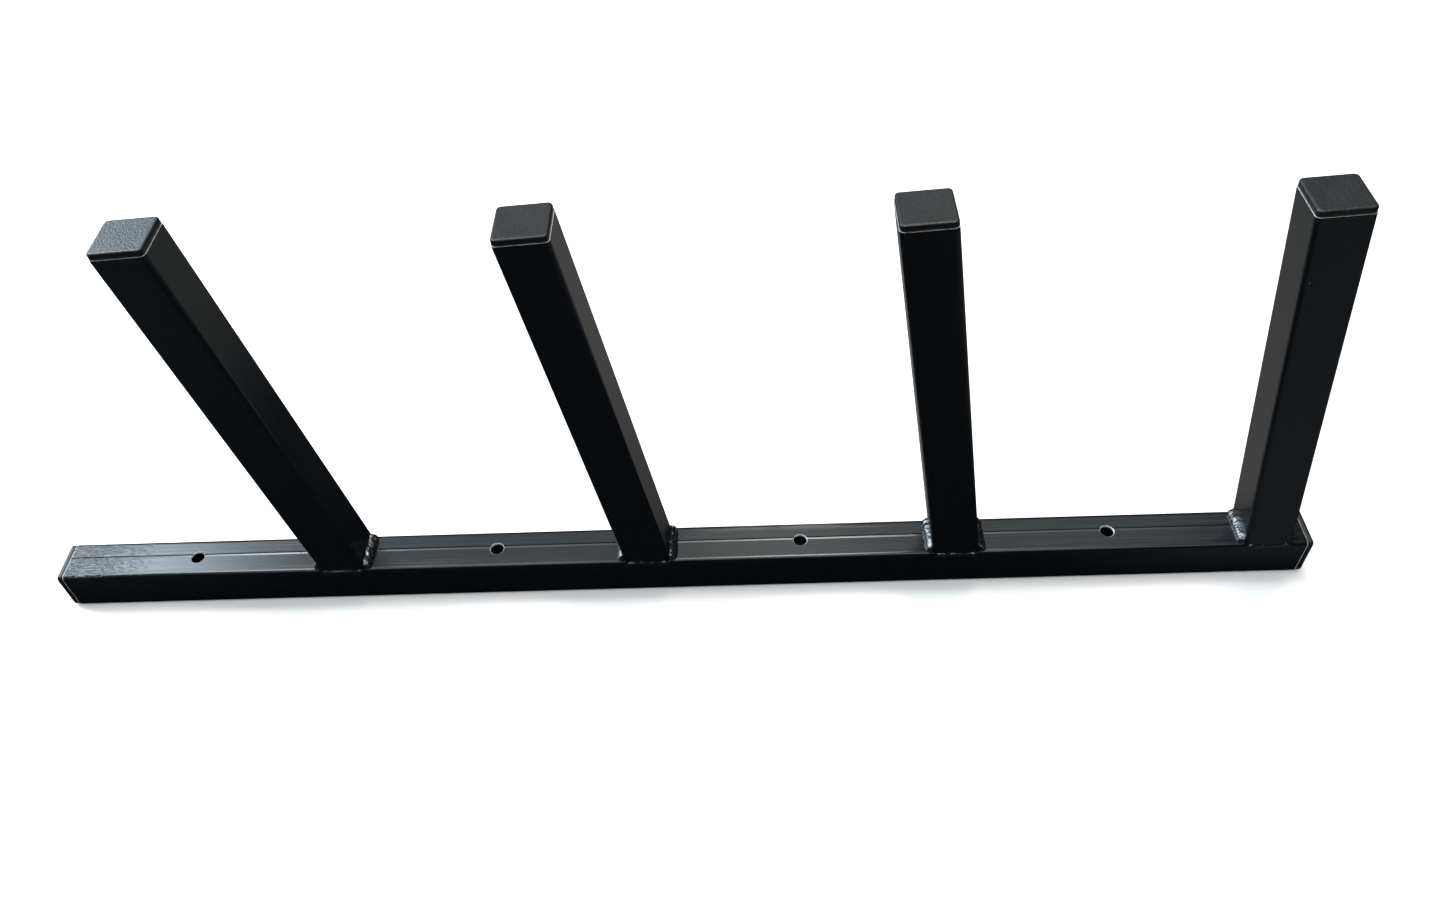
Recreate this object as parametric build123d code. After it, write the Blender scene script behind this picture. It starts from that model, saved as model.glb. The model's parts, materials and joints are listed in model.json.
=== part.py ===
from build123d import *
import math
import os

# Welded wall rack: a square rail tube with four square arm tubes standing on it.
# Millimetres. +X runs along the rail, +Z points out of the wall along the arms,
# +Y is the remaining direction. The origin is the middle of the rail's wall face.

# Stock: one square hollow section is used for the rail and the arms.
TUBE = 40.0
WALL = 2.0
CORNER_OUT = 4.0
CORNER_IN = CORNER_OUT - WALL

# Rail
RAIL_LENGTH = 1092.0
SEAM_WIDTH = 1.2
SEAM_DEPTH = 0.3
SEAM_OFFSET = 2.8

# Arms: pitch along the rail, length along the arm, lean towards the rail's long free end,
# how far the sawn end is off square, turned back towards the rail's plane,
# and what is left of the rail past the last arm's foot.
ARM_COUNT = 4
ARM_PITCH = 269.0
ARM_LENGTH = 349.0
ARM_LEAN = 9.0
ARM_CUT_SKEW = 5.5
ARM_END_GAP = 14.0

# Wall bolt holes, one half a pitch to the left of each arm, drilled through both walls.
HOLE_DIAMETER = 12.0

# Push-in end caps
CAP_HEAD = 5.0
CAP_INSET = 0.4
CAP_EDGE = 1.5
CAP_SEAT_GAP = 0.2
PLUG_LENGTH = 16.0
PLUG_WALL = 2.0
CORE_CORNER = 0.5
RIB_COUNT = 3
RIB_HEIGHT = 0.6
RIB_THICK = 1.2
RIB_CLEARANCE = 0.1

# Weld beads
BEAD_LEG = 6.2
BEAD_BULGE = 0.9
BEAD_SET_BACK = 2.4
GROOVE_WELD_PROUD = 0.5
GROOVE_WELD_REACH = 75.0

LEAN = math.radians(ARM_LEAN)
SKEW_RISE = TUBE * math.tan(math.radians(ARM_CUT_SKEW))
HALF = TUBE / 2.0
LEFT_END = -RAIL_LENGTH / 2.0
RIGHT_END = RAIL_LENGTH / 2.0
FOOT_HALF = HALF / math.cos(LEAN)


def arm_xs():
    """Arm centres on the rail's arm-side face, left to right."""
    last = RIGHT_END - ARM_END_GAP - FOOT_HALF
    first = last - (ARM_COUNT - 1) * ARM_PITCH
    return [first + i * ARM_PITCH for i in range(ARM_COUNT)]


def hole_xs():
    """Bolt hole centres, each midway to the next arm on the left."""
    return [x - ARM_PITCH / 2.0 for x in arm_xs()]


def section(side, corner):
    """A filled square with rounded corners on the XY plane."""
    return RectangleRounded(side, side, corner)


def tube(length):
    """Square hollow section standing on the XY plane, centred on Z."""
    outer = extrude(section(TUBE, CORNER_OUT), amount=length)
    inner = extrude(section(TUBE - 2 * WALL, CORNER_IN), amount=length)
    return outer - inner


def make_rail():
    """Rail tube lying along X on its wall face, drilled right through."""
    body = Pos(LEFT_END, 0, HALF) * Rot(0, 90, 0) * tube(RAIL_LENGTH)
    drill = Cylinder(HOLE_DIAMETER / 2.0, TUBE * 2)
    for x in hole_xs():
        body -= Pos(x, 0, HALF) * drill
    seam = Box(RAIL_LENGTH * 2, SEAM_WIDTH, SEAM_DEPTH * 2)
    body -= Pos(0, SEAM_OFFSET, TUBE) * seam
    return body


def arm_place(x):
    """The arm's own frame: origin on the rail's face, Z along the arm."""
    return Pos(x, 0, TUBE) * Rot(0, -ARM_LEAN, 0)


def above(skew, height):
    """A block over a plane that is turned by skew about Y and then raised by height."""
    return Rot(0, skew, 0) * Pos(0, 0, TUBE + height) * Box(TUBE * 2, TUBE * 2, TUBE * 2)


def make_arm(x):
    """Arm tube with its foot mitred to stand flat on the rail."""
    reach = TUBE * math.tan(LEAN)
    body = arm_place(x) * Pos(0, 0, -reach) * tube(ARM_LENGTH + reach + SKEW_RISE)
    below_rail_face = Pos(x, 0, 0) * Box(TUBE * 2, TUBE * 2, TUBE * 2)
    past_cut = arm_place(x) * Pos(0, 0, ARM_LENGTH) * above(ARM_CUT_SKEW, 0)
    return body - below_rail_face - past_cut


def make_cap(skew):
    """Push-in cap, Z pointing out of the tube, Z = 0 at the middle of the tube's cut end.

    The head lies on a cut that is skew degrees off square, and the plug follows the tube.
    """
    head = extrude(section(TUBE - 2 * CAP_INSET, CORNER_OUT - CAP_INSET), amount=CAP_HEAD)
    rim = head.edges().group_by(Axis.Z)[-1]
    head = Rot(0, skew, 0) * Pos(0, 0, CAP_SEAT_GAP) * fillet(rim, CAP_EDGE)
    bore = TUBE - 2 * WALL
    rib_side = bore - 2 * RIB_CLEARANCE
    plug_side = rib_side - 2 * RIB_HEIGHT
    bottom = CAP_SEAT_GAP - PLUG_LENGTH
    reach = PLUG_LENGTH + SKEW_RISE
    core = Pos(0, 0, bottom) * extrude(section(plug_side - 2 * PLUG_WALL, CORE_CORNER), amount=reach)
    plug = Pos(0, 0, bottom) * extrude(section(plug_side, CORNER_IN), amount=reach)
    for i in range(RIB_COUNT):
        z = CAP_SEAT_GAP - (i + 1) * PLUG_LENGTH / (RIB_COUNT + 0.5)
        plug += Pos(0, 0, z) * extrude(section(rib_side, CORNER_IN), amount=RIB_THICK)
    return head + (plug - core - above(skew, CAP_SEAT_GAP))


def bead_profile(face_angle):
    """Fillet bead section on XZ, corner at the origin, one leg along +X.

    The other leg climbs at face_angle above +X, and the face bulges outwards.
    """
    foot = Vector(BEAD_LEG, 0, 0)
    head = Vector(BEAD_LEG * math.cos(face_angle), 0, BEAD_LEG * math.sin(face_angle))
    middle = (foot + head) * 0.5
    out = middle.normalized()
    crown = middle + out * BEAD_BULGE
    outline = Wire([
        Line(Vector(0, 0, 0), foot),
        ThreePointArc(foot, crown, head),
        Line(head, Vector(0, 0, 0)),
    ])
    return Face(outline)


def side_bead(x, side):
    """Fillet bead along the foot of one side of an arm; side is -1 or +1."""
    angle = math.radians(90.0 + side * ARM_LEAN)
    length = TUBE - 2 * BEAD_SET_BACK
    profile = Pos(0, length / 2.0, 0) * bead_profile(angle)
    bead = extrude(profile, amount=length, dir=(0, -1, 0))
    if side < 0:
        bead = mirror(bead, about=Plane.YZ)
    return Pos(x + side * FOOT_HALF, 0, TUBE) * bead


def groove_bead(x, side):
    """Flare-groove bead that fills the rail's corner under an arm's flush wall."""
    run = 2 * FOOT_HALF - 2 * BEAD_SET_BACK
    r = CORNER_OUT

    def on_corner(degrees):
        """A point on the rail's rounded corner, measured from straight up."""
        turn = math.radians(degrees)
        return Vector(0, HALF - r + r * math.sin(turn), TUBE - r + r * math.cos(turn))

    start = on_corner(0)
    middle = on_corner(GROOVE_WELD_REACH / 2.0)
    low = on_corner(GROOVE_WELD_REACH)
    top = Vector(0, HALF, TUBE)
    crown = Vector(0, HALF + GROOVE_WELD_PROUD, (low.Z + top.Z) / 2.0)
    outline = Wire([
        ThreePointArc(start, middle, low),
        ThreePointArc(low, crown, top),
        Line(top, start),
    ])
    bead = extrude(Pos(-run / 2.0, 0, 0) * Face(outline), amount=run, dir=(1, 0, 0))
    if side < 0:
        bead = mirror(bead, about=Plane.XZ)
    return Pos(x, 0, 0) * bead


def cap_on_arm(x):
    return arm_place(x) * Pos(0, 0, ARM_LENGTH) * make_cap(ARM_CUT_SKEW)


def cap_on_rail(side):
    turn = Rot(0, 90 * side, 0)
    return Pos(side * RAIL_LENGTH / 2.0, 0, HALF) * turn * make_cap(0)


def build():
    """Every piece of the rack, by node name."""
    pieces = {"rail_tube": make_rail()}
    pieces["rail_cap_left"] = cap_on_rail(-1)
    pieces["rail_cap_right"] = cap_on_rail(1)
    for number, x in enumerate(arm_xs(), start=1):
        pieces[f"arm_tube_{number}"] = make_arm(x)
        pieces[f"arm_cap_{number}"] = cap_on_arm(x)
        pieces[f"weld_left_{number}"] = side_bead(x, -1)
        pieces[f"weld_right_{number}"] = side_bead(x, 1)
        pieces[f"weld_front_{number}"] = groove_bead(x, -1)
        pieces[f"weld_back_{number}"] = groove_bead(x, 1)
    return pieces


os.makedirs("parts", exist_ok=True)
for name, piece in build().items():
    piece.label = name
    export_step(piece, f"parts/{name}.step")
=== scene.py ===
"""Square-tube wall rack: one drilled rail, four leaning arms, push-in caps and welded joints."""
import json
import math

import bmesh
import bpy
from mathutils import Matrix, Vector


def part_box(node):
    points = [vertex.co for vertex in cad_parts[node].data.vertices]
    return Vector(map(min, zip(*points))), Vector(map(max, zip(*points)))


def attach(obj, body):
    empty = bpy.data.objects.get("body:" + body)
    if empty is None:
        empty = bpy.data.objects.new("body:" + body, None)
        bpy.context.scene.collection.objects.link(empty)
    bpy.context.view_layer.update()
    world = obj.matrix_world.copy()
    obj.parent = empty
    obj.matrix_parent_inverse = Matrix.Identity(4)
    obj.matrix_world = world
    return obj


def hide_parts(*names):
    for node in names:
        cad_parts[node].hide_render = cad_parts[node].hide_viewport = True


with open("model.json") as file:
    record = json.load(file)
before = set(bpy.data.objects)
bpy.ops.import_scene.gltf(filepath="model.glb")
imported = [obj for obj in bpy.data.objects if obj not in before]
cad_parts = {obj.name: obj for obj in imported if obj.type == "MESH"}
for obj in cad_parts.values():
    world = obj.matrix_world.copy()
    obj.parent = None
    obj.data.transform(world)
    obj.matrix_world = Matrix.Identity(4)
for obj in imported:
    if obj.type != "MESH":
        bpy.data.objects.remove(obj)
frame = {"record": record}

bl_info = {
    "name": "Square-tube wall rack",
    "version": (1, 0, 0),
    "blender": (4, 5, 0),
    "location": "3D View > Sidebar > Wall Rack",
    "description": "Finishes a welded wall rack: tubes, caps, weld beads, spatter and paint",
    "category": "Object",
}

MM = 0.001
RIGHT_ANGLE = math.pi / 2
BODY = "root"
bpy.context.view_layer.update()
MOUNTS = {mount["name"]: mount for mount in frame["record"]["mounts"]}
ARMS = range(1, 1 + sum(name.startswith("arm_rest_") for name in MOUNTS))


# ---------------------------------------------------------------- sizes read from the frame

def rail_box():
    """Lowest and highest corner of the rail tube."""
    lo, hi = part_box("rail_tube")
    return Vector(lo), Vector(hi)


RAIL_LOW, RAIL_HIGH = rail_box()
SIDE = RAIL_HIGH.z - RAIL_LOW.z
HALF = SIDE / 2
TOP = RAIL_HIGH.z
# the lamps are placed round this point, inside the rack and a little above its rail
RACK_MIDDLE = Vector((0, 0, 0.1))


def read_lean():
    """How far the arms lean towards -X, from the face that a load rests against."""
    face = MOUNTS["arm_rest_1"]["axis"]
    return math.atan2(-face[2], -face[0])


LEAN = read_lean()
FOOT_HALF = HALF / math.cos(LEAN)


def arm_foot(number):
    """Where the arm's centre line meets the rail's top face."""
    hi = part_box(f"arm_tube_{number}")[1]
    return Vector((hi[0] - FOOT_HALF, 0, TOP))


def arm_length(number):
    """Length of the arm's tube along its own centre line."""
    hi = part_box(f"arm_tube_{number}")[1]
    corner = (hi[2] - TOP - HALF * math.sin(LEAN)) / math.cos(LEAN)
    return corner + HALF * math.tan(bpy.context.scene.rack_tube.cut_skew)


def arm_place(number):
    """The arm's own frame: origin at its foot, Z along the tube."""
    return Matrix.Translation(arm_foot(number)) @ Matrix.Rotation(-LEAN, 4, "Y")


def bolt_holes():
    """Centres along X and radius of the rail's bolt holes."""
    places = []
    for name in ("wall_bolts_outer", "wall_bolts_inner"):
        mount = MOUNTS[name]
        reach = mount["dims"]["spacing_x_mm"] * MM / 2
        places += [mount["pos_m"][0] - reach, mount["pos_m"][0] + reach]
    return sorted(places), MOUNTS["wall_bolts_outer"]["dims"]["hole_r_mm"] * MM


# ---------------------------------------------------------------- properties

def length(name, text, value):
    """A length property that Blender shows in its own units."""
    return bpy.props.FloatProperty(
        name=name, description=text, default=value * MM, min=0.0, precision=5, subtype="DISTANCE")


def tint(name, text, value):
    """A colour property."""
    return bpy.props.FloatVectorProperty(
        name=name, description=text, default=value, size=3, min=0.0, max=1.0, subtype="COLOR")


def share(name, text, value, top=1.0):
    """A plain number between nothing and top."""
    return bpy.props.FloatProperty(name=name, description=text, default=value, min=0.0, max=top)


class RackTubeSettings(bpy.types.PropertyGroup):
    """Sizes of the square section and of its cut ends."""
    wall: length("Wall", "Thickness of the tube's wall", 2.0)
    corner: length("Corner", "Outside radius of the tube's corners", 4.0)
    cut_skew: bpy.props.FloatProperty(
        name="Cut skew", description="How far an arm's sawn end is off square",
        default=math.radians(5.5), subtype="ANGLE")
    cut_break: length("Cut edge", "Width of the edge broken by the saw on an arm", 0.16)
    rail_break: length("Rail cut edge", "Width of the bare edge left by the saw on the rail", 0.8)
    seam_offset: length("Seam offset", "Distance of the rail's tube seam behind its centre line", 2.8)
    seam_ridge: length("Seam ridge", "Height of the trimmed seam beside its groove", 0.32)
    seam_groove: length("Seam groove", "Depth of the groove beside the trimmed seam", 0.35)
    hole_break: length("Hole edge", "Width of the worn edge round each bolt hole", 0.4)


class RackCapSettings(bpy.types.PropertyGroup):
    """Sizes of the push-in caps."""
    inset: length("Inset", "How far the cap's head stands back from the tube's faces", 0.4)
    rim: length("Rim radius", "Radius of the head's top edge", 1.6)
    plug: length("Plug length", "How far the plug reaches into the tube", 16.0)
    skin: length("Plug wall", "Thickness of the plug's wall", 2.0)
    seat: length("Seat gap", "Gap between the head and the tube's end", 0.2)
    squeeze: length("Rib clearance", "Gap between a rib and the tube's inside", 0.1)
    rib: length("Rib height", "How far each rib stands out from the plug", 0.6)
    rib_thick: length("Rib thickness", "How thick each rib is at its root", 1.2)
    dish: length("Sink mark", "How far the middle of the head sinks", 0.12)


class RackWeldSettings(bpy.types.PropertyGroup):
    """Sizes of the weld beads and of what they threw off."""
    leg: length("Leg", "Leg length of the side beads", 6.2)
    bulge: length("Bulge", "How far a side bead's face is crowned", 1.0)
    ripple_pitch: length("Ripple pitch", "Distance from one ripple to the next", 2.9)
    ripple_depth: length("Ripple depth", "Depth of the ripples", 0.16)
    wander: length("Wander", "How far the bead's edge wanders", 1.3)
    swell: length("End swell", "How far a bead swells where it stops", 0.9)
    groove_leg: length("Groove leg", "Leg length of the beads in the rail's rounded corner", 3.4)
    groove_bulge: length("Groove bulge", "How far a groove bead's face is crowned", 1.2)
    spatter_size: length("Spatter size", "Largest radius of a spatter drop", 0.7)
    spatter_count: bpy.props.IntProperty(
        name="Spatter drops", description="Drops of spatter round each joint", default=26, min=0)
    seed: bpy.props.IntProperty(name="Seed", description="Fixes what is irregular", default=7, min=0)


class RackFinishSettings(bpy.types.PropertyGroup):
    """Colours and gloss of the finishes."""
    paint: tint("Paint", "Black paint on tubes and welds", (0.0019, 0.0029, 0.0046))
    steel: tint("Bare steel", "Steel at saw cuts, drilled edges and chips", (0.64, 0.65, 0.66))
    plastic: tint("Plastic", "Caps", (0.0028, 0.0033, 0.0038))
    paint_roughness: share("Paint roughness", "How dull the paint is", 0.22)
    plastic_roughness: share("Plastic roughness", "How dull the caps are", 0.41)


class RackStageSettings(bpy.types.PropertyGroup):
    """Floor, lamps and camera."""
    floor: tint("Floor", "Colour of the floor", (0.9, 0.9, 0.9))
    ambient: share("Ambient", "Brightness of the light from all round", 0.5, 10.0)
    window: share("Window", "Brightness of the tall soft box behind on the left", 13.5, 50.0)
    sky: share("Overhead", "Brightness of the wide panel behind and above", 1.15, 50.0)
    strip: share("Strip", "Brightness of the long panel straight above", 2.6, 50.0)
    warm: share("Warm lamp", "Brightness of the small lamp behind and above", 1.6, 50.0)
    high: share("High lamps", "Brightness of the two small lamps high up", 20.0, 50.0)
    front: share("Front", "Brightness of the wide panel in front and above", 2.4, 50.0)
    bounce: share("Bounce", "Brightness of the low panels round the rack", 0.24, 50.0)
    lens: bpy.props.FloatProperty(
        name="Lens", description="Focal length in millimetres", default=28.9, min=1.0)


GROUPS = {
    "rack_tube": RackTubeSettings,
    "rack_cap": RackCapSettings,
    "rack_weld": RackWeldSettings,
    "rack_finish": RackFinishSettings,
    "rack_stage": RackStageSettings,
}


# ---------------------------------------------------------------- node trees

class Tree:
    """Short words for building a node tree."""

    def __init__(self, tree):
        self.tree = tree

    def node(self, kind, inputs=None, **settings):
        """One node, with its settings and then its inputs, by name or number."""
        made = self.tree.nodes.new(kind)
        for key, value in settings.items():
            setattr(made, key, value)
        for key, value in (inputs or {}).items():
            self.feed(made.inputs[key], value)
        return made

    def feed(self, socket, value):
        """Links a socket, or sets the value that it holds."""
        if isinstance(value, bpy.types.Node):
            value = value.outputs[0]
        if isinstance(value, bpy.types.NodeSocket):
            self.tree.links.new(value, socket)
        else:
            socket.default_value = value

    def math(self, operation, *values, clamp=False):
        """A Math node's result."""
        kind = "ShaderNodeMath"
        return self.node(kind, dict(enumerate(values)), operation=operation, use_clamp=clamp).outputs[0]

    def ramp(self, value, low, high, start=0.0, end=1.0):
        """Maps low..high to start..end, smoothly and without overshoot."""
        made = self.node("ShaderNodeMapRange", interpolation_type="SMOOTHSTEP")
        for key, number in zip(range(5), (value, low, high, start, end)):
            self.feed(made.inputs[key], number)
        return made.outputs[0]

    def mix(self, amount, first, second):
        """Mixes two colours."""
        made = self.node("ShaderNodeMix", data_type="RGBA")
        self.feed(made.inputs[0], amount)
        for socket, value in ((made.inputs[6], first), (made.inputs[7], second)):
            self.feed(socket, (*value, 1.0) if isinstance(value, tuple) and len(value) == 3 else value)
        return made.outputs[2]


def surface(name):
    """A new material with one Principled shader: (material, tree, shader)."""
    material = bpy.data.materials.new(name)
    material.use_nodes = True
    material.node_tree.nodes.clear()
    tree = Tree(material.node_tree)
    shader = tree.node("ShaderNodeBsdfPrincipled")
    tree.node("ShaderNodeOutputMaterial", {"Surface": shader.outputs[0]})
    return material, tree, shader


def object_place(tree):
    """The object's own coordinates, as three sockets."""
    place = tree.node("ShaderNodeTexCoord").outputs["Object"]
    return tree.node("ShaderNodeSeparateXYZ", {0: place}).outputs


def stretched(tree, along, scale, stretch, detail=3.0, turn=0.0, roughness=0.55):
    """Noise drawn out along one axis of the object; turn tilts it about Y."""
    place = tree.node("ShaderNodeTexCoord").outputs["Object"]
    turned = tree.node(
        "ShaderNodeVectorRotate", {"Vector": place, "Angle": turn}, rotation_type="Y_AXIS")
    size = [scale] * 3
    size["XYZ".index(along)] = scale / stretch
    sized = tree.node(
        "ShaderNodeMapping", {"Vector": turned.outputs[0], "Scale": size}, vector_type="POINT")
    made = tree.node("ShaderNodeTexNoise", {
        "Vector": sized.outputs[0], "Scale": 1.0, "Detail": detail, "Roughness": roughness})
    return made.outputs[0]


def bumps(tree, heights):
    """A chain of Bump nodes from (height, distance, strength), finest last."""
    normal = None
    for height, distance, strength in heights:
        made = tree.node("ShaderNodeBump", {"Height": height, "Distance": distance, "Strength": strength})
        if normal is not None:
            tree.feed(made.inputs["Normal"], normal)
        normal = made.outputs[0]
    return normal


def specks(tree, cells, radius, rarity):
    """Tiny round marks scattered over the surface, as a share from 0 to 1.

    A cell of the pattern holds a mark where its own chance is above rarity.
    """
    place = tree.node("ShaderNodeTexCoord").outputs["Object"]
    made = tree.node("ShaderNodeTexVoronoi", {"Vector": place, "Scale": cells})
    split = tree.node("ShaderNodeSeparateColor", {0: made.outputs["Color"]})
    near = tree.ramp(made.outputs["Distance"], radius * cells * 0.6, radius * cells, 1.0, 0.0)
    return tree.math("MULTIPLY", near, tree.math("GREATER_THAN", split.outputs[0], rarity))


def facing_up(tree):
    """How far a face looks straight up, as a share from 0 to 1."""
    normal = tree.node("ShaderNodeSeparateXYZ", {
        0: tree.node("ShaderNodeTexCoord").outputs["Normal"]}).outputs[2]
    return tree.ramp(normal, 0.7, 0.98)


def painted_sheen_patch(tree, scuff_and_sheen_noise):
    """Where a sheen is painted pale on the rail between the middle arms, mottled by the noise: its top's
    back edge and its back face.
    """
    middle, full, gone = 0.11, 0.05, 0.11
    place = object_place(tree)
    off_middle = tree.math("ABSOLUTE", tree.math("SUBTRACT", place[0], middle))
    along = tree.ramp(off_middle, full, gone, 1.0, 0.0)
    across = tree.ramp(place[1], 0.010, 0.0165)
    return tree.math("MULTIPLY", tree.math("MULTIPLY", along, across), tree.ramp(scuff_and_sheen_noise, 0.4, 0.62))


def wrinkled_end(tree, end):
    """Height of the wrinkled paint near the rail's left end, which is at end along X."""
    full, gone = 0.02, 0.09
    near = tree.ramp(object_place(tree)[0], end + full, end + gone, 1.0, 0.0)
    wrinkle = stretched(tree, "X", scale=330.0, stretch=2.0, detail=4.0, roughness=0.62)
    return tree.math("MULTIPLY", near, tree.ramp(wrinkle, 0.36, 0.64))


def painted(name, along, turn=0.0, left_end=None):
    """Black paint over drawn tube: drawing lines, orange peel, dust streaks and chips.

    With left_end, where the rail starts along X, it also has the rail's wrinkled paint near that end and a
    painted sheen on its back edge between the middle arms.
    """
    finish = bpy.context.scene.rack_finish
    material, tree, shader = surface(name)
    lines = stretched(tree, along, 420.0, 300.0, 3.0, turn)
    fine = stretched(tree, along, 900.0, 160.0, 2.0, turn)
    broad = stretched(tree, along, 110.0, 90.0, 2.0, turn)
    peel = stretched(tree, along, 700.0, 1.5, 2.0, turn)
    cloud = stretched(tree, along, 22.0, 3.0, 3.0, turn)
    scuff_and_sheen_noise = stretched(tree, along, 240.0, 18.0, 4.0, turn, 0.65)
    base = tuple(finish.paint)
    dusty = tuple(c + 0.011 for c in base)
    # colour of the painted sheen: the base paint lifted pale on the rail's back edge
    sheen_colour = tuple(c + 0.06 for c in base)
    chipped = tuple(min(1.0, c * 0.55) for c in finish.steel)
    worn = tree.math("MULTIPLY", tree.ramp(cloud, 0.4, 0.72), tree.ramp(scuff_and_sheen_noise, 0.42, 0.78))
    streaks = tree.math("MULTIPLY", tree.ramp(lines, 0.42, 0.66), tree.ramp(fine, 0.35, 0.7))
    marks = tree.math("ADD", streaks, tree.math("MULTIPLY", worn, 0.5))
    dust = tree.math("MULTIPLY", facing_up(tree), marks, clamp=True)
    colour = tree.mix(dust, base, dusty)
    heights = [(broad, 0.00007, 0.6), (lines, 0.000035, 0.6), (peel, 0.000004, 0.4)]
    if left_end is not None:
        # paints a pale sheen on the rail's back edge between the middle arms
        colour = tree.mix(painted_sheen_patch(tree, scuff_and_sheen_noise), colour, sheen_colour)
        heights.insert(0, (wrinkled_end(tree, left_end), 0.0004, 0.8))
    colour = tree.mix(specks(tree, cells=42.0, radius=0.0007, rarity=0.93), colour, chipped)
    rough = tree.math("ADD", finish.paint_roughness - 0.07, tree.math("MULTIPLY", broad, 0.12))
    rough = tree.math("ADD", rough, tree.math("MULTIPLY", dust, 0.12), clamp=True)
    tree.feed(shader.inputs["Base Color"], colour)
    tree.feed(shader.inputs["Roughness"], rough)
    tree.feed(shader.inputs["Normal"], bumps(tree, heights))
    return material


def bare_steel(name, roughness=0.32):
    """Steel left bright by a saw or a drill, with fine cross scratches."""
    finish = bpy.context.scene.rack_finish
    material, tree, shader = surface(name)
    marks = stretched(tree, "Y", 2600.0, 14.0, 3.0)
    stain = stretched(tree, "X", 500.0, 2.0, 4.0)
    steel = tuple(finish.steel)
    dull = tuple(c * 0.45 for c in steel)
    tree.feed(shader.inputs["Base Color"], tree.mix(tree.ramp(stain, 0.45, 0.7), steel, dull))
    shader.inputs["Metallic"].default_value = 0.35
    tree.feed(shader.inputs["Roughness"], tree.math("ADD", roughness, tree.math("MULTIPLY", marks, 0.2)))
    tree.feed(shader.inputs["Normal"], bumps(tree, [(marks, 0.00005, 0.6)]))
    return material


def moulded(name):
    """Black moulded plastic with a fine spark-eroded grain."""
    finish = bpy.context.scene.rack_finish
    material, tree, shader = surface(name)
    grain = stretched(tree, "X", 2300.0, 1.0, 2.0)
    cell = tree.node("ShaderNodeTexVoronoi", {
        "Vector": tree.node("ShaderNodeTexCoord").outputs["Object"], "Scale": 850.0}, feature="SMOOTH_F1")
    cloud = stretched(tree, "X", 60.0, 1.0, 4.0)
    rub = stretched(tree, "Y", 420.0, 9.0, 4.0)
    base = tuple(finish.plastic)
    chalky = tuple(c * 2.1 + 0.0015 for c in base)
    worn = tree.math("MULTIPLY", tree.ramp(cloud, 0.4, 0.7), tree.ramp(rub, 0.45, 0.75))
    tree.feed(shader.inputs["Base Color"], tree.mix(worn, base, chalky))
    rough = tree.math("ADD", finish.plastic_roughness - 0.05, tree.math("MULTIPLY", cloud, 0.14))
    tree.feed(shader.inputs["Roughness"], rough)
    tree.feed(shader.inputs["Normal"], bumps(tree, [
        (cell.outputs[0], 0.0003, 0.6), (grain, 0.00012, 0.55)]))
    return material


def painted_bead(name, gloss):
    """Paint over a weld bead: glossy and thick, with pits and slag specks."""
    finish = bpy.context.scene.rack_finish
    material, tree, shader = surface(name)
    pits = stretched(tree, "X", 900.0, 1.0, 5.0)
    lumps = stretched(tree, "X", 320.0, 1.0, 3.0)
    base = tuple(finish.paint)
    slag = tuple(min(1.0, c * 3.2 + 0.03) for c in base)
    shader.inputs["IOR"].default_value = 1.85
    speck = tree.ramp(pits, 0.52, 0.68)
    tree.feed(shader.inputs["Base Color"], tree.mix(speck, base, slag))
    tree.feed(shader.inputs["Roughness"], tree.math(
        "ADD", gloss, tree.math("MULTIPLY", tree.ramp(lumps, 0.3, 0.7), 0.14)))
    tree.feed(shader.inputs["Normal"], bumps(tree, [(lumps, 0.0005, 0.45), (pits, 0.0002, 0.5)]))
    return material


def material_named(name, maker, *details):
    """The material of that name, made the first time it is asked for."""
    return bpy.data.materials.get(name) or maker(name, *details)


def rail_paint():
    """Paint with the rail's wrinkles and a painted sheen on its back edge, drawn along X."""
    return material_named("rail paint", painted, "X", 0.0, RAIL_LOW.x)


def arm_paint():
    """Paint drawn along the arms."""
    return material_named("arm paint", painted, "Z", LEAN)


def cut_steel():
    """Bare steel of sawn and drilled edges."""
    return material_named("cut steel", bare_steel)


def cap_plastic():
    """Plastic of every cap."""
    return material_named("cap plastic", moulded)


def bead_paint():
    """Thick paint over the weld beads and their spatter."""
    return material_named("bead paint", painted_bead, 0.13)


# ---------------------------------------------------------------- mesh making

# how far a broken edge goes in, as a share of how far it goes along
EDGE_SLOPE = 0.6


def rounded_square(half, corner, steps=8):
    """Points round a square with rounded corners, with a point held close to each arc."""
    hold = min(0.6 * MM, (half - corner) * 0.25)
    points = []
    for quarter in range(4):
        turn = quarter * RIGHT_ANGLE
        c, s = math.cos(turn), math.sin(turn)
        local = [(half, half - corner - hold)]
        for step in range(steps + 1):
            angle = step / steps * RIGHT_ANGLE
            local.append((
                half - corner + corner * math.cos(angle), half - corner + corner * math.sin(angle)))
        local.append((half - corner - hold, half))
        points += [(c * x - s * y, s * x + c * y) for x, y in local]
    return points


def bridge(mesh, first, second, slot=0):
    """Quads between two rings of the same count."""
    for i in range(len(first)):
        j = (i + 1) % len(first)
        face = mesh.faces.new((first[i], first[j], second[j], second[i]))
        face.material_index = slot


def finish_piece(mesh, name, node, materials, place=None, sharp=60.0):
    """Turns a bmesh into a finished piece that stands for a CAD node, or for none.

    Edges that turn by more than sharp, in degrees, are shaded as edges.
    """
    bmesh.ops.remove_doubles(mesh, verts=mesh.verts, dist=1e-7)
    if place is not None:
        bmesh.ops.transform(mesh, matrix=place, verts=mesh.verts)
    bmesh.ops.recalc_face_normals(mesh, faces=mesh.faces)
    data = bpy.data.meshes.new(name)
    mesh.to_mesh(data)
    mesh.free()
    for material in materials:
        data.materials.append(material)
    data.shade_smooth()
    data.set_sharp_from_angle(angle=math.radians(sharp))
    piece = bpy.data.objects.new(name, data)
    bpy.context.scene.collection.objects.link(piece)
    if node is not None:
        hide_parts(node)
    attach(piece, BODY)


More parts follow.
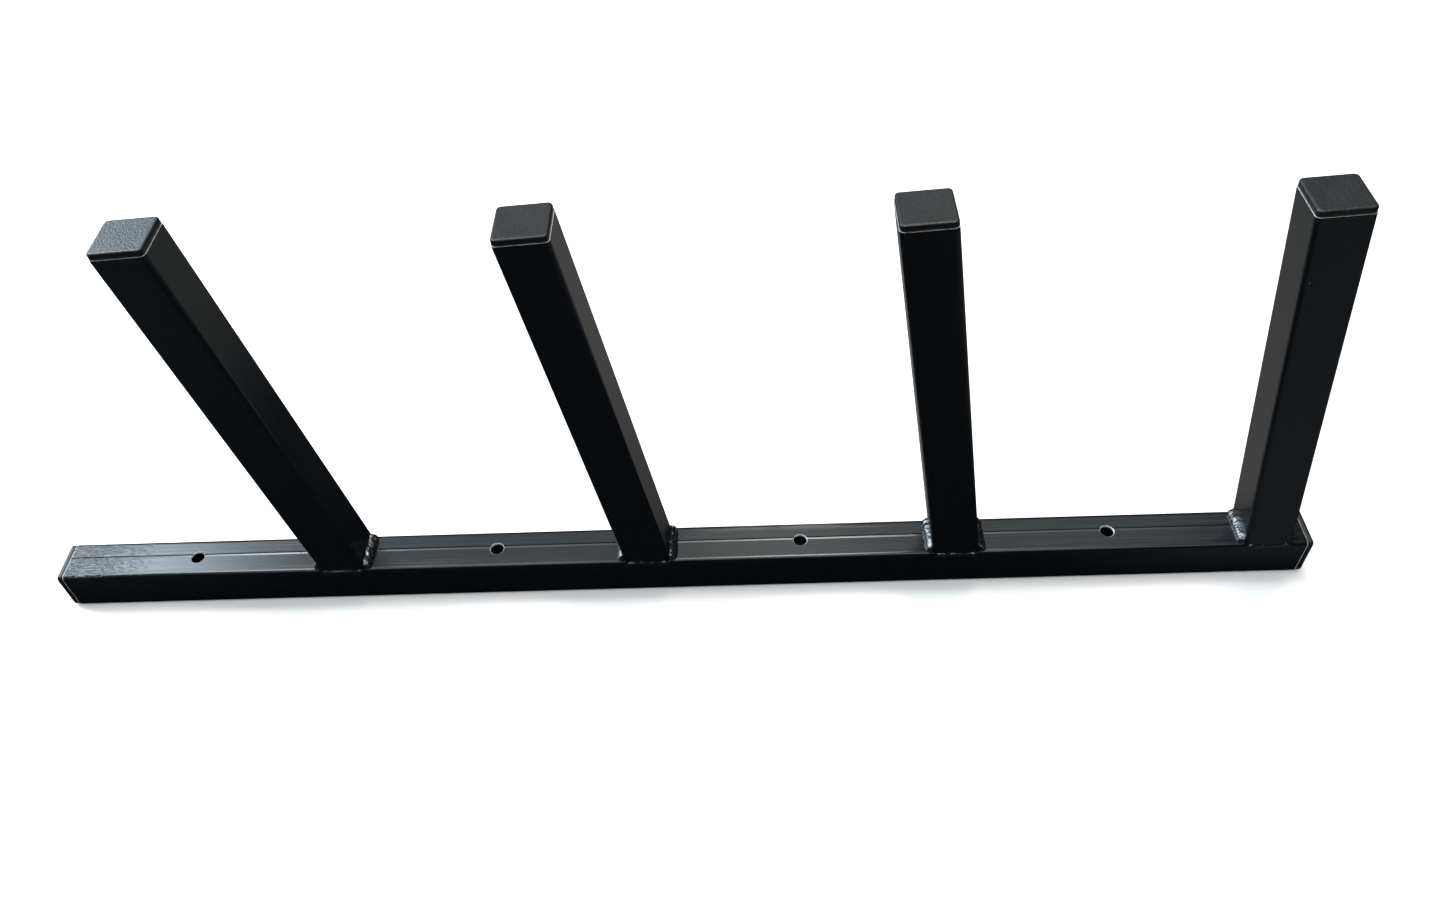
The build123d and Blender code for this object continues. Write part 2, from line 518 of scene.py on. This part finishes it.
def plain_mesh(obj):
    """The evaluated shape of obj as a bmesh; obj is then removed."""
    graph = bpy.context.evaluated_depsgraph_get()
    data = bpy.data.meshes.new_from_object(obj.evaluated_get(graph))
    made = bmesh.new()
    made.from_mesh(data)
    bpy.data.meshes.remove(data)
    bpy.data.objects.remove(obj)
    return made


def build_arm(number):
    """One arm tube: mitred foot, hollow, with a bare sawn end inside a broken painted edge."""
    tube = bpy.context.scene.rack_tube
    reach = arm_length(number)
    outer = rounded_square(HALF, tube.corner)
    inner = rounded_square(HALF - tube.wall, tube.corner - tube.wall)
    edge = tube.cut_break
    lip = rounded_square(HALF - edge * EDGE_SLOPE, tube.corner - edge * EDGE_SLOPE)
    mesh = bmesh.new()

    def ring(points, z, slant):
        """A ring across the tube at height z, slanting down towards the arm's right side."""
        return [mesh.verts.new((x, y, z - x * math.tan(slant))) for x, y in points]

    foot_out, foot_in = ring(outer, 0, LEAN), ring(inner, 0, LEAN)
    shoulder = ring(outer, reach - edge, tube.cut_skew)
    top_out, top_in = ring(lip, reach, tube.cut_skew), ring(inner, reach, tube.cut_skew)
    bridge(mesh, foot_out, shoulder)
    bridge(mesh, shoulder, top_out)
    bridge(mesh, top_out, top_in, 1)
    bridge(mesh, top_in, foot_in)
    bridge(mesh, foot_in, foot_out, 1)
    finish_piece(mesh, f"arm_{number}", f"arm_tube_{number}",
                 [arm_paint(), cut_steel()], arm_place(number), 25.0)


def rail_profile(tube):
    """The rail's outline in Y and Z, with its trimmed seam on the arm side."""
    points = [(-x, y + HALF) for x, y in rounded_square(HALF, tube.corner)]
    at, ridge, groove = tube.seam_offset, tube.seam_ridge, tube.seam_groove
    across = [(-2.3, 0), (-2.0, ridge * 0.1), (-0.8, ridge * 0.9), (-0.5, ridge), (0.55, -groove), (0.8, 0)]
    seam = [(at + MM * y, SIDE + z) for y, z in across]
    on_top = [point for point in points if point[1] > SIDE - 1e-6]
    first = points.index(max(point for point in on_top if point[0] < at))
    second = points.index(min(point for point in on_top if point[0] > at))
    if second < first:
        seam.reverse()
        first = second
    return points[:first + 1] + seam + points[first + 1:]


def mesh_object(mesh, name, materials):
    """Puts a bmesh into the scene as an object that isn't a piece yet."""
    bmesh.ops.recalc_face_normals(mesh, faces=mesh.faces)
    data = bpy.data.meshes.new(name)
    mesh.to_mesh(data)
    mesh.free()
    for material in materials:
        data.materials.append(material)
    made = bpy.data.objects.new(name, data)
    bpy.context.scene.collection.objects.link(made)
    return made


def hole_cutter(tube, turns=48):
    """Drills for every bolt hole, flared where the drilled edge is worn."""
    centres, radius = bolt_holes()
    worn = tube.hole_break
    beyond = 10 * MM
    wide = radius + worn
    heights = [(-beyond, wide), (0.0, wide), (worn, radius),
               (SIDE - worn, radius), (SIDE, wide), (SIDE + beyond, wide)]
    angles = [2 * math.pi * i / turns for i in range(turns)]
    mesh = bmesh.new()
    for x in centres:
        rings = [[mesh.verts.new((x + r * math.cos(a), r * math.sin(a), z)) for a in angles]
                 for z, r in heights]
        for first, second in zip(rings, rings[1:]):
            bridge(mesh, first, second)
        mesh.faces.new(rings[0])
        mesh.faces.new(rings[-1])
    return mesh_object(mesh, "drills", [cut_steel()])


def close_end(mesh, skin, bore):
    """Fills the bare sawn face between the tube's outline and its bore."""
    edges = []
    for loop in (skin, bore):
        for i, vert in enumerate(loop):
            edges.append(mesh.edges.get((vert, loop[(i + 1) % len(loop)])))
    filled = bmesh.ops.triangle_fill(mesh, edges=edges, use_beauty=True)
    for face in filled["geom"]:
        if isinstance(face, bmesh.types.BMFace):
            face.material_index = 1


def rail_blank(tube):
    """The rail tube before it is drilled, with broken bare edges at its sawn ends."""
    outer = rail_profile(tube)
    edge = tube.rail_break
    shrink = 1 - edge * EDGE_SLOPE / HALF
    lip = [(y * shrink, HALF + (z - HALF) * shrink) for y, z in outer]
    inner = [(-x, y + HALF) for x, y in rounded_square(HALF - tube.wall, tube.corner - tube.wall)]
    mesh = bmesh.new()

    def ring(points, x):
        """A ring across the rail at x."""
        return [mesh.verts.new((x, y, z)) for y, z in points]

    left, right = RAIL_LOW.x, RAIL_HIGH.x
    skins = [ring(lip, left), ring(outer, left + edge), ring(outer, right - edge), ring(lip, right)]
    bores = [ring(inner, left), ring(inner, right)]
    for i, slot in enumerate((1, 0, 1)):
        bridge(mesh, skins[i], skins[i + 1], slot)
    bridge(mesh, *bores)
    close_end(mesh, skins[0], bores[0])
    close_end(mesh, skins[3], bores[1])
    return mesh_object(mesh, "rail blank", [rail_paint(), cut_steel()])


def build_rail():
    """The rail tube: seam, drilled bolt holes and bare sawn ends."""
    tube = bpy.context.scene.rack_tube
    blank = rail_blank(tube)
    cutter = hole_cutter(tube)
    drill = blank.modifiers.new("drill", "BOOLEAN")
    drill.object = cutter
    drill.operation = "DIFFERENCE"
    drill.solver = "EXACT"
    drill.material_mode = "TRANSFER"
    drilled = plain_mesh(blank)
    bpy.data.objects.remove(cutter)
    finish_piece(drilled, "rail", "rail_tube", [rail_paint(), cut_steel()], None, 28.0)


def plug_rings(cap, core, plug, rib):
    """Rings of the hollow plug, from the inside of its floor up over its ribs."""
    sharp, soft = 0.5 * MM, 2 * MM
    bottom = cap.seat - cap.plug
    chamfer = cap.rib_thick / 4
    rings = [(core, sharp, cap.seat), (core, sharp, bottom), (plug, soft, bottom)]
    pitch = cap.plug / 3.5
    for i in (3, 2, 1):
        z = cap.seat - i * pitch
        rings += [(plug, soft, z), (rib, soft, z + chamfer),
                  (rib, soft, z + chamfer * 3), (plug, soft, z + cap.rib_thick)]
    return rings


def head_rings(cap, plug, side, corner, head):
    """Rings of the head, from under its edge, over its rim and into its sink mark."""
    rings = [(plug, 2 * MM, cap.seat), (side - 0.2 * MM, corner, cap.seat),
             (side, corner, cap.seat + 0.3 * MM)]
    steps = 7
    for step in range(steps + 1):
        angle = step / steps * RIGHT_ANGLE
        inward = cap.rim * (1 - math.cos(angle))
        height = head - cap.rim * (1 - math.sin(angle))
        rings.append((side - inward, max(corner - inward, 0.8 * MM), height))
    inner = side - cap.rim
    for part, drop in ((0.93, 0.25), (0.8, 0.6), (0.5, 0.9)):
        rings.append((inner * part, 1.6 * MM * part, head - cap.dish * drop))
    return rings


def build_cap(name, node, place, head, skew=0.0):
    """One push-in cap: crowned-edge head, hollow plug and three ribs, Z out of the tube.

    The head lies on a cut that is skew off square, and the plug follows the tube.
    """
    cap, tube = bpy.context.scene.rack_cap, bpy.context.scene.rack_tube
    rib = HALF - tube.wall - cap.squeeze
    plug = rib - cap.rib
    parts = (
        (0.0, plug_rings(cap, plug - cap.skin, plug, rib)),
        (skew, head_rings(cap, plug, HALF - cap.inset, tube.corner - cap.inset, head)),
    )
    mesh = bmesh.new()
    made = []
    for tilt, rings in parts:
        turn = Matrix.Rotation(tilt, 3, "Y")
        for half, radius, z in rings:
            outline = rounded_square(half, radius, 6)
            made.append([mesh.verts.new(turn @ Vector((x, y, z))) for x, y in outline])
    for first, second in zip(made, made[1:]):
        bridge(mesh, first, second)
    mesh.faces.new(made[0])
    mesh.faces.new(made[-1])
    finish_piece(mesh, name, node, [cap_plastic()], place, 40.0)


# ---------------------------------------------------------------- weld beads

def new_group(name, sockets):
    """A Geometry Nodes group with the named inputs: (group, its tree, its input sockets)."""
    group = bpy.data.node_groups.new(name, "GeometryNodeTree")
    for label, kind in (("Geometry", "Geometry"), *sockets):
        group.interface.new_socket(label, in_out="INPUT", socket_type=f"NodeSocket{kind}")
    group.interface.new_socket("Geometry", in_out="OUTPUT", socket_type="NodeSocketGeometry")
    tree = Tree(group)
    return group, tree, tree.node("NodeGroupInput").outputs


def end_group(tree, geometry, finish):
    """Ends a group in plain geometry with its material."""
    real = tree.node("GeometryNodeRealizeInstances", {"Geometry": geometry})
    done = tree.node("GeometryNodeSetMaterial", {"Geometry": real.outputs[0], "Material": finish})
    tree.node("NodeGroupOutput", {0: done.outputs[0]})


def bead_tree():
    """Geometry Nodes for one weld bead, swept as a fan round its root line along Y.

    The fan starts on +X and turns towards +Z by the face angle.
    """
    old = bpy.data.node_groups.get("weld bead")
    if old:
        return old
    lengths = ("Run", "Leg", "Face Angle", "Bulge", "Ripple Pitch", "Ripple Depth", "Wander", "End Swell")
    group, tree, given = new_group("weld bead", (
        *((label, "Float") for label in lengths), ("Seed", "Int"), ("Finish", "Material")))
    grid = tree.node("GeometryNodeMeshGrid", {
        "Size X": 1.0, "Size Y": 1.0, "Vertices X": 150, "Vertices Y": 22})
    place = tree.node("ShaderNodeSeparateXYZ", {0: tree.node("GeometryNodeInputPosition")}).outputs
    u = tree.math("ADD", place[0], 0.5)
    v = tree.math("ADD", place[1], 0.5)
    along = tree.math("MULTIPLY", place[0], given["Run"])
    half_angle = tree.math("MULTIPLY", given["Face Angle"], 0.5)
    # the fan reaches a little into both walls
    spread = tree.math("MULTIPLY_ADD", v, 1.08, -0.04)
    angle = tree.math("MULTIPLY", given["Face Angle"], spread)
    off_middle = tree.math("SUBTRACT", angle, half_angle)
    chord = tree.math("DIVIDE", tree.math("MULTIPLY", given["Leg"], tree.math("COSINE", half_angle)),
                      tree.math("COSINE", off_middle))
    crown = tree.math("SINE", tree.math("MULTIPLY", v, math.pi))
    radius = tree.math("ADD", chord, tree.math("MULTIPLY", given["Bulge"], crown))
    seed = tree.math("MULTIPLY", given["Seed"], 3.71)

    def wobble(scale, height, offset):
        """Noise along the bead, as a share above and below zero."""
        where = tree.node("ShaderNodeCombineXYZ", {
            0: tree.math("MULTIPLY", along, scale), 1: tree.math("MULTIPLY", v, height),
            2: tree.math("ADD", seed, offset)})
        made = tree.node("ShaderNodeTexNoise", {"Vector": where.outputs[0], "Scale": 1.0, "Detail": 2.0})
        return tree.math("SUBTRACT", made.outputs[0], 0.5)

    wander = tree.math("MULTIPLY", given["Wander"], wobble(170.0, 1.6, 0.0))
    radius = tree.math("ADD", radius, wander)
    from_end = tree.math("SUBTRACT", 0.5, tree.math("ABSOLUTE", tree.math("SUBTRACT", u, 0.5)))
    lump = tree.math("MULTIPLY", tree.ramp(from_end, 0.03, 0.22, 1.0, 0.0), crown)
    radius = tree.math("ADD", radius, tree.math("MULTIPLY", given["End Swell"], lump))
    # each ripple is an arc that trails behind the puddle
    bow = tree.math("POWER", tree.math("ABSOLUTE", tree.math("MULTIPLY_ADD", v, 2.0, -1.0)), 2.0)
    steps = tree.math("DIVIDE", along, given["Ripple Pitch"])
    trailing = tree.math("ADD", steps, tree.math("MULTIPLY", bow, 0.8))
    phase = tree.math("ADD", trailing, wobble(420.0, 2.0, 9.0))
    wave = tree.math("ABSOLUTE", tree.math("SINE", tree.math("MULTIPLY", phase, math.pi)))
    ripple = tree.math("MULTIPLY", tree.math("MULTIPLY", wave, crown), given["Ripple Depth"])
    radius = tree.math("ADD", radius, ripple)
    end = tree.math("POWER", tree.math("ABSOLUTE", tree.math("MULTIPLY_ADD", u, 2.0, -1.0)), 8.0)
    taper = tree.math("SQRT", tree.math("MAXIMUM", tree.math("SUBTRACT", 1.0, end), 0.0))
    inside = tree.math("MULTIPLY", tree.math("GREATER_THAN", v, 0.004), tree.math("LESS_THAN", v, 0.996))
    radius = tree.math("MULTIPLY", tree.math("MULTIPLY", radius, taper), inside)
    spot = tree.node("ShaderNodeCombineXYZ", {
        0: tree.math("MULTIPLY", radius, tree.math("COSINE", angle)), 1: along,
        2: tree.math("MULTIPLY", radius, tree.math("SINE", angle))})
    moved = tree.node("GeometryNodeSetPosition", {"Geometry": grid.outputs[0], "Position": spot.outputs[0]})
    merged = tree.node("GeometryNodeMergeByDistance", {"Geometry": moved.outputs[0], "Distance": 0.000002})
    end_group(tree, merged.outputs[0], given["Finish"])
    return group


def run_tree(group, values, name):
    """Runs a Geometry Nodes group on an empty mesh and returns its result as a bmesh."""
    holder = bpy.data.objects.new(name, bpy.data.meshes.new(name))
    bpy.context.scene.collection.objects.link(holder)
    modifier = holder.modifiers.new(name, "NODES")
    modifier.node_group = group
    for item in group.interface.items_tree:
        if item.item_type == "SOCKET" and item.in_out == "INPUT" and item.name in values:
            modifier[item.identifier] = values[item.name]
    return plain_mesh(holder)


def frame_of(x_axis, y_axis, z_axis, origin):
    """A matrix from three axes and an origin."""
    turned = Matrix((x_axis, y_axis, z_axis)).transposed().to_4x4()
    return Matrix.Translation(origin) @ turned


def side_bead(number, side):
    """Fillet bead along one side of an arm's foot; side is -1 on the left, +1 on the right."""
    weld = bpy.context.scene.rack_weld
    word = "left" if side < 0 else "right"
    lumpy = 1.0 if side < 0 else 2.3
    values = {
        "Run": SIDE * 0.95,
        "Leg": weld.leg,
        "Face Angle": RIGHT_ANGLE + side * LEAN,
        "Bulge": weld.bulge,
        "Ripple Pitch": weld.ripple_pitch,
        "Ripple Depth": weld.ripple_depth * lumpy,
        "Wander": weld.wander * lumpy,
        "End Swell": weld.swell * lumpy * 0.6,
        "Seed": weld.seed + number * 10 + side,
        "Finish": bead_paint(),
    }
    mesh = run_tree(bead_tree(), values, f"bead {word} {number}")
    root = arm_foot(number) + Vector((side * FOOT_HALF, 0, 0))
    place = frame_of((side, 0, 0), (0, side, 0), (0, 0, 1), root)
    finish_piece(mesh, f"bead_{word}_{number}", f"weld_{word}_{number}", [bead_paint()], place)


def groove_bead(number, side):
    """Bead in the rail's rounded corner under an arm's flush wall; side is -1 at the front."""
    weld = bpy.context.scene.rack_weld
    word = "front" if side < 0 else "back"
    values = {
        "Run": 2 * FOOT_HALF - 3 * MM,
        "Leg": weld.groove_leg,
        "Face Angle": math.radians(112.0),
        "Bulge": weld.groove_bulge,
        "Ripple Pitch": weld.ripple_pitch,
        "Ripple Depth": weld.ripple_depth * 2.2,
        "Wander": weld.wander * 1.1,
        "End Swell": weld.swell * 1.3,
        "Seed": weld.seed + number * 10 + 5 + side,
        "Finish": bead_paint(),
    }
    mesh = run_tree(bead_tree(), values, f"bead {word} {number}")
    root = arm_foot(number) + Vector((0, side * (HALF - 1.9 * MM), -1.8 * MM))
    tilt = math.radians(-46.0)
    low = Vector((0, side * math.cos(tilt), math.sin(tilt)))
    high = Vector((0, -side * math.sin(tilt), math.cos(tilt)))
    place = frame_of(low, high.cross(low), high, root)
    finish_piece(mesh, f"bead_{word}_{number}", f"weld_{word}_{number}", [bead_paint()], place)


def spatter_tree():
    """Geometry Nodes for drops of spatter over a flat patch in X and Y, lying on Z = 0."""
    old = bpy.data.node_groups.get("spatter")
    if old:
        return old
    group, tree, given = new_group("spatter", (
        ("Width", "Float"), ("Depth", "Float"), ("Size", "Float"), ("Count", "Int"), ("Seed", "Int"),
        ("Finish", "Material")))

    def chance(low, high, offset):
        """A random number for each drop."""
        made = tree.node("FunctionNodeRandomValue", data_type="FLOAT")
        tree.feed(made.inputs[2], low)
        tree.feed(made.inputs[3], high)
        tree.feed(made.inputs["Seed"], tree.math("ADD", given["Seed"], offset))
        return made.outputs[1]

    across = tree.math("MULTIPLY", given["Width"], chance(-0.5, 0.5, 1))
    deep = tree.math("MULTIPLY", given["Depth"], chance(-0.5, 0.5, 2))
    spot = tree.node("ShaderNodeCombineXYZ", {0: across, 1: deep, 2: 0.0})
    points = tree.node("GeometryNodePoints", {"Count": given["Count"], "Position": spot.outputs[0]})
    drop = tree.node("GeometryNodeMeshIcoSphere", {"Radius": 1.0, "Subdivisions": 2})
    small = tree.math("POWER", chance(0.45, 1.0, 3), 3.0)
    size = tree.math("MULTIPLY", given["Size"], small)
    flat = tree.node("ShaderNodeCombineXYZ", {0: size, 1: size, 2: tree.math("MULTIPLY", size, 0.65)})
    turn = tree.node("ShaderNodeCombineXYZ", {0: 0.0, 1: 0.0, 2: chance(0.0, 6.28, 4)})
    placed = tree.node("GeometryNodeInstanceOnPoints", {
        "Points": points.outputs[0], "Instance": drop.outputs[0], "Rotation": turn.outputs[0],
        "Scale": flat.outputs[0]})
    end_group(tree, placed.outputs[0], given["Finish"])
    return group


def spatter_patches(number, room):
    """Where one joint's spatter lies: (place, width, depth, share of the drops) for each patch."""
    foot = arm_foot(number)
    front = Matrix.Rotation(RIGHT_ANGLE, 4, "X")
    patches = []
    for side in (-1, 1):
        beside = foot + Vector((side * (FOOT_HALF + room + 6 * MM), 0, 0))
        if abs(beside.x) + 6 * MM < RAIL_HIGH.x:
            patches.append((Matrix.Translation(beside), 16 * MM, SIDE * 0.74, 0.4))
    on_rail = Matrix.Translation(foot + Vector((0, -HALF, -8.5 * MM)))
    patches.append((on_rail @ front, FOOT_HALF * 2, 8 * MM, 0.35))
    on_arm = arm_place(number) @ Matrix.Translation((0, -HALF, 9 * MM))
    patches.append((on_arm @ front, SIDE * 0.7, 12 * MM, 0.25))
    return patches


def build_spatter(number):
    """Drops of spatter round one arm's foot, on the rail's top and front and on the arm."""
    weld = bpy.context.scene.rack_weld
    whole = bmesh.new()
    for place, width, depth, part in spatter_patches(number, weld.leg * 1.5):
        values = {
            "Width": width,
            "Depth": depth,
            "Size": weld.spatter_size,
            "Count": int(weld.spatter_count * part),
            "Seed": weld.seed + number * 31 + len(whole.verts),
            "Finish": bead_paint(),
        }
        drops = run_tree(spatter_tree(), values, "spatter")
        bmesh.ops.transform(drops, matrix=place, verts=drops.verts)
        data = bpy.data.meshes.new("drops")
        drops.to_mesh(data)
        drops.free()
        whole.from_mesh(data)
        bpy.data.meshes.remove(data)
    finish_piece(whole, f"spatter_{number}", None, [bead_paint()])


# ---------------------------------------------------------------- stage

def area_lamp(name, width, depth, radiance, colour):
    """A rectangular lamp that isn't seen itself, as an object still to be placed."""
    lamp = bpy.data.lights.new(name, "AREA")
    lamp.shape = "RECTANGLE"
    lamp.size, lamp.size_y = width, depth
    lamp.energy = radiance * math.pi * width * depth
    lamp.color = colour
    holder = bpy.data.objects.new(name, lamp)
    holder.visible_camera = False
    bpy.context.scene.collection.objects.link(holder)
    return holder


def soft_box(name, azimuth, elevation, distance, size, radiance, colour=(1, 1, 1)):
    """A lamp that faces the rack, at an azimuth from +Y towards +X and an elevation in degrees."""
    holder = area_lamp(name, *size, radiance, colour)
    a, e = math.radians(azimuth), math.radians(elevation)
    out = Vector((math.sin(a) * math.cos(e), math.cos(a) * math.cos(e), math.sin(e)))
    holder.location = RACK_MIDDLE + out * distance
    holder.rotation_mode = "QUATERNION"
    holder.rotation_quaternion = out.to_track_quat("Z", "Y")


def soften(lamp, fade):
    """Fades a rectangular lamp towards its edges, over fade as a share of its width and depth."""
    lamp.use_nodes = True
    tree = Tree(lamp.node_tree)
    place = tree.node("ShaderNodeSeparateXYZ", {
        0: tree.node("ShaderNodeNewGeometry").outputs["Parametric"]}).outputs
    shares = []
    for axis in (0, 1):
        off_middle = tree.math("ABSOLUTE", tree.math("SUBTRACT", place[axis], 0.5))
        shares.append(tree.ramp(tree.math("SUBTRACT", 0.5, off_middle), 0.0, fade[axis]))
    glow = next(node for node in lamp.node_tree.nodes if node.type == "EMISSION")
    tree.feed(glow.inputs["Strength"], tree.math("MULTIPLY", *shares))


def bounce_panel(name, low, high, radiance, colour=(1.0, 1.0, 0.94), fade=(0.22, 0.04)):
    """A dim panel lying on the floor between two corners, which upright faces reflect."""
    holder = area_lamp(name, high[0] - low[0], high[1] - low[1], radiance, colour)
    soften(holder.data, fade)
    above_floor = 4 * MM
    holder.location = ((low[0] + high[0]) / 2, (low[1] + high[1]) / 2, above_floor)
    holder.rotation_euler = (math.pi, 0, 0)


def build_lamps():
    """Soft boxes round and above the rack."""
    stage = bpy.context.scene.rack_stage
    soft_box("window", -60.5, 31, 4.0, (1.9, 2.6), stage.window, (0.74, 0.88, 1.0))
    soft_box("overhead", 0, 58, 3.0, (3.4, 1.6), stage.sky, (0.82, 0.96, 1.0))
    soft_box("strip", 0, 80, 3.0, (3.4, 0.9), stage.strip)
    soft_box("front", 180, 66, 3.0, (3.4, 1.5), stage.front, (0.92, 0.98, 1.0))
    soft_box("warm lamp", 4, 53, 3.0, (0.5, 0.5), stage.warm, (1.0, 1.0, 0.86))
    soft_box("left high lamp", -64, 57, 3.0, (0.6, 0.5), stage.high * 1.1, (0.86, 0.94, 1.0))
    soft_box("middle high lamp", 20, 77, 3.0, (0.42, 1.4), stage.high, (1.0, 0.98, 0.93))


def build_bounce():
    """Low panels behind and in front of the rack, for its upright faces."""
    glow = bpy.context.scene.rack_stage.bounce
    bounce_panel("right bounce", (-0.08, 0.0), (0.95, 1.2), glow * 0.95, fade=(0.22, 0.06))
    bounce_panel("left bounce", (-0.6, 0.0), (-0.09, 1.1), glow * 0.6, fade=(0.1, 0.5))
    bounce_panel("front right bounce", (0.3, -1.1), (1.3, -0.01), glow * 0.42, (0.92, 0.98, 1.0))
    bounce_panel("front left bounce", (-1.7, -1.4), (-0.33, -0.01), glow * 0.24, (0.8, 0.92, 1.0))


def build_floor():
    """A wide pale floor under the rack, with a faint plaster mottle."""
    stage = bpy.context.scene.rack_stage
    reach, cells = 6.0, 12
    mesh = bmesh.new()
    bmesh.ops.create_grid(mesh, x_segments=cells, y_segments=cells, size=reach)
    data = bpy.data.meshes.new("floor")
    mesh.to_mesh(data)
    mesh.free()
    material, tree, shader = surface("floor")
    cloud = stretched(tree, "X", 3.0, 1.0, 3.0)
    pale = tuple(stage.floor)
    shade = tuple(c * 0.985 for c in pale)
    tree.feed(shader.inputs["Base Color"], tree.mix(cloud, pale, shade))
    shader.inputs["Roughness"].default_value = 0.9
    data.materials.append(material)
    floor = bpy.data.objects.new("floor", data)
    floor.location = (0, 0, -0.2 * MM)
    floor.visible_glossy = False
    bpy.context.scene.collection.objects.link(floor)


def build_world():
    """Even light from all round, kept out of reflections."""
    stage = bpy.context.scene.rack_stage
    world = bpy.data.worlds.new("studio")
    bpy.context.scene.world = world
    world.use_nodes = True
    background = world.node_tree.nodes["Background"]
    background.inputs["Color"].default_value = (0.97, 0.985, 1.0, 1.0)
    background.inputs["Strength"].default_value = stage.ambient
    world.cycles_visibility.glossy = False


def build_camera():
    """The camera, in front of the rack and above it, looking down."""
    stage = bpy.context.scene.rack_stage
    lens = bpy.data.cameras.new("camera")
    lens.lens = stage.lens
    lens.sensor_width = 36.0
    camera = bpy.data.objects.new("camera", lens)
    ahead = Vector((-0.02329, 0.6789, -0.73386)).normalized()
    right = Vector((0.99926, -0.00669, -0.0379)).normalized()
    up = right.cross(ahead)
    camera.matrix_world = frame_of(right, up, -ahead, Vector((0.06597, -0.63791, 0.84686)))
    lens.clip_start = 0.01
    bpy.context.scene.collection.objects.link(camera)
    bpy.context.scene.camera = camera


# ---------------------------------------------------------------- operators

class RACK_OT_rail(bpy.types.Operator):
    """Build the drilled rail tube"""
    bl_idname = "rack.rail"
    bl_label = "Rail"

    def execute(self, context):
        build_rail()
        return {"FINISHED"}


class RACK_OT_arms(bpy.types.Operator):
    """Build the leaning arm tubes"""
    bl_idname = "rack.arms"
    bl_label = "Arms"

    def execute(self, context):
        for number in ARMS:
            build_arm(number)
        return {"FINISHED"}


class RACK_OT_caps(bpy.types.Operator):
    """Build the plastic caps in every open tube end"""
    bl_idname = "rack.caps"
    bl_label = "Caps"

    def execute(self, context):
        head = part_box("rail_cap_right")[1][0] - RAIL_HIGH.x
        for number in ARMS:
            place = arm_place(number) @ Matrix.Translation((0, 0, arm_length(number)))
            skew = context.scene.rack_tube.cut_skew
            build_cap(f"cap_arm_{number}", f"arm_cap_{number}", place, head, skew)
        for word, end, turn in (("left", RAIL_LOW.x, -90), ("right", RAIL_HIGH.x, 90)):
            place = Matrix.Translation((end, 0, HALF)) @ Matrix.Rotation(math.radians(turn), 4, "Y")
            build_cap(f"cap_rail_{word}", f"rail_cap_{word}", place, head)
        return {"FINISHED"}


class RACK_OT_welds(bpy.types.Operator):
    """Build the weld beads round every arm's foot and what they threw off"""
    bl_idname = "rack.welds"
    bl_label = "Weld beads"

    def execute(self, context):
        for number in ARMS:
            for side in (-1, 1):
                side_bead(number, side)
                groove_bead(number, side)
            build_spatter(number)
        return {"FINISHED"}


class RACK_OT_stage(bpy.types.Operator):
    """Set up the floor, the lamps and the camera"""
    bl_idname = "rack.stage"
    bl_label = "Stage"

    def execute(self, context):
        context.scene.view_settings.view_transform = "Standard"
        build_floor()
        build_world()
        build_lamps()
        build_bounce()
        build_camera()
        return {"FINISHED"}


OPERATORS = (RACK_OT_rail, RACK_OT_arms, RACK_OT_caps, RACK_OT_welds, RACK_OT_stage)


class RACK_PT_panel(bpy.types.Panel):
    """Steps and settings of the wall rack"""
    bl_idname = "RACK_PT_panel"
    bl_label = "Wall Rack"
    bl_space_type = "VIEW_3D"
    bl_region_type = "UI"
    bl_category = "Wall Rack"

    def draw(self, context):
        for operator in OPERATORS:
            self.layout.operator(operator.bl_idname)
        for name, group in GROUPS.items():
            box = self.layout.box()
            for key in group.__annotations__:
                box.prop(getattr(context.scene, name), key)


def register():
    """Registers the settings, the operators and the panel."""
    for name, group in GROUPS.items():
        bpy.utils.register_class(group)
        setattr(bpy.types.Scene, name, bpy.props.PointerProperty(type=group))
    for kind in (*OPERATORS, RACK_PT_panel):
        bpy.utils.register_class(kind)


def unregister():
    """Takes everything out again."""
    for kind in reversed((*OPERATORS, RACK_PT_panel)):
        bpy.utils.unregister_class(kind)
    for name, group in reversed(GROUPS.items()):
        delattr(bpy.types.Scene, name)
        bpy.utils.unregister_class(group)


def main():
    """Builds the whole rack."""
    register()
    bpy.ops.rack.rail()
    bpy.ops.rack.arms()
    bpy.ops.rack.caps()
    bpy.ops.rack.welds()
    bpy.ops.rack.stage()


if __name__ == "__main__":
    main()
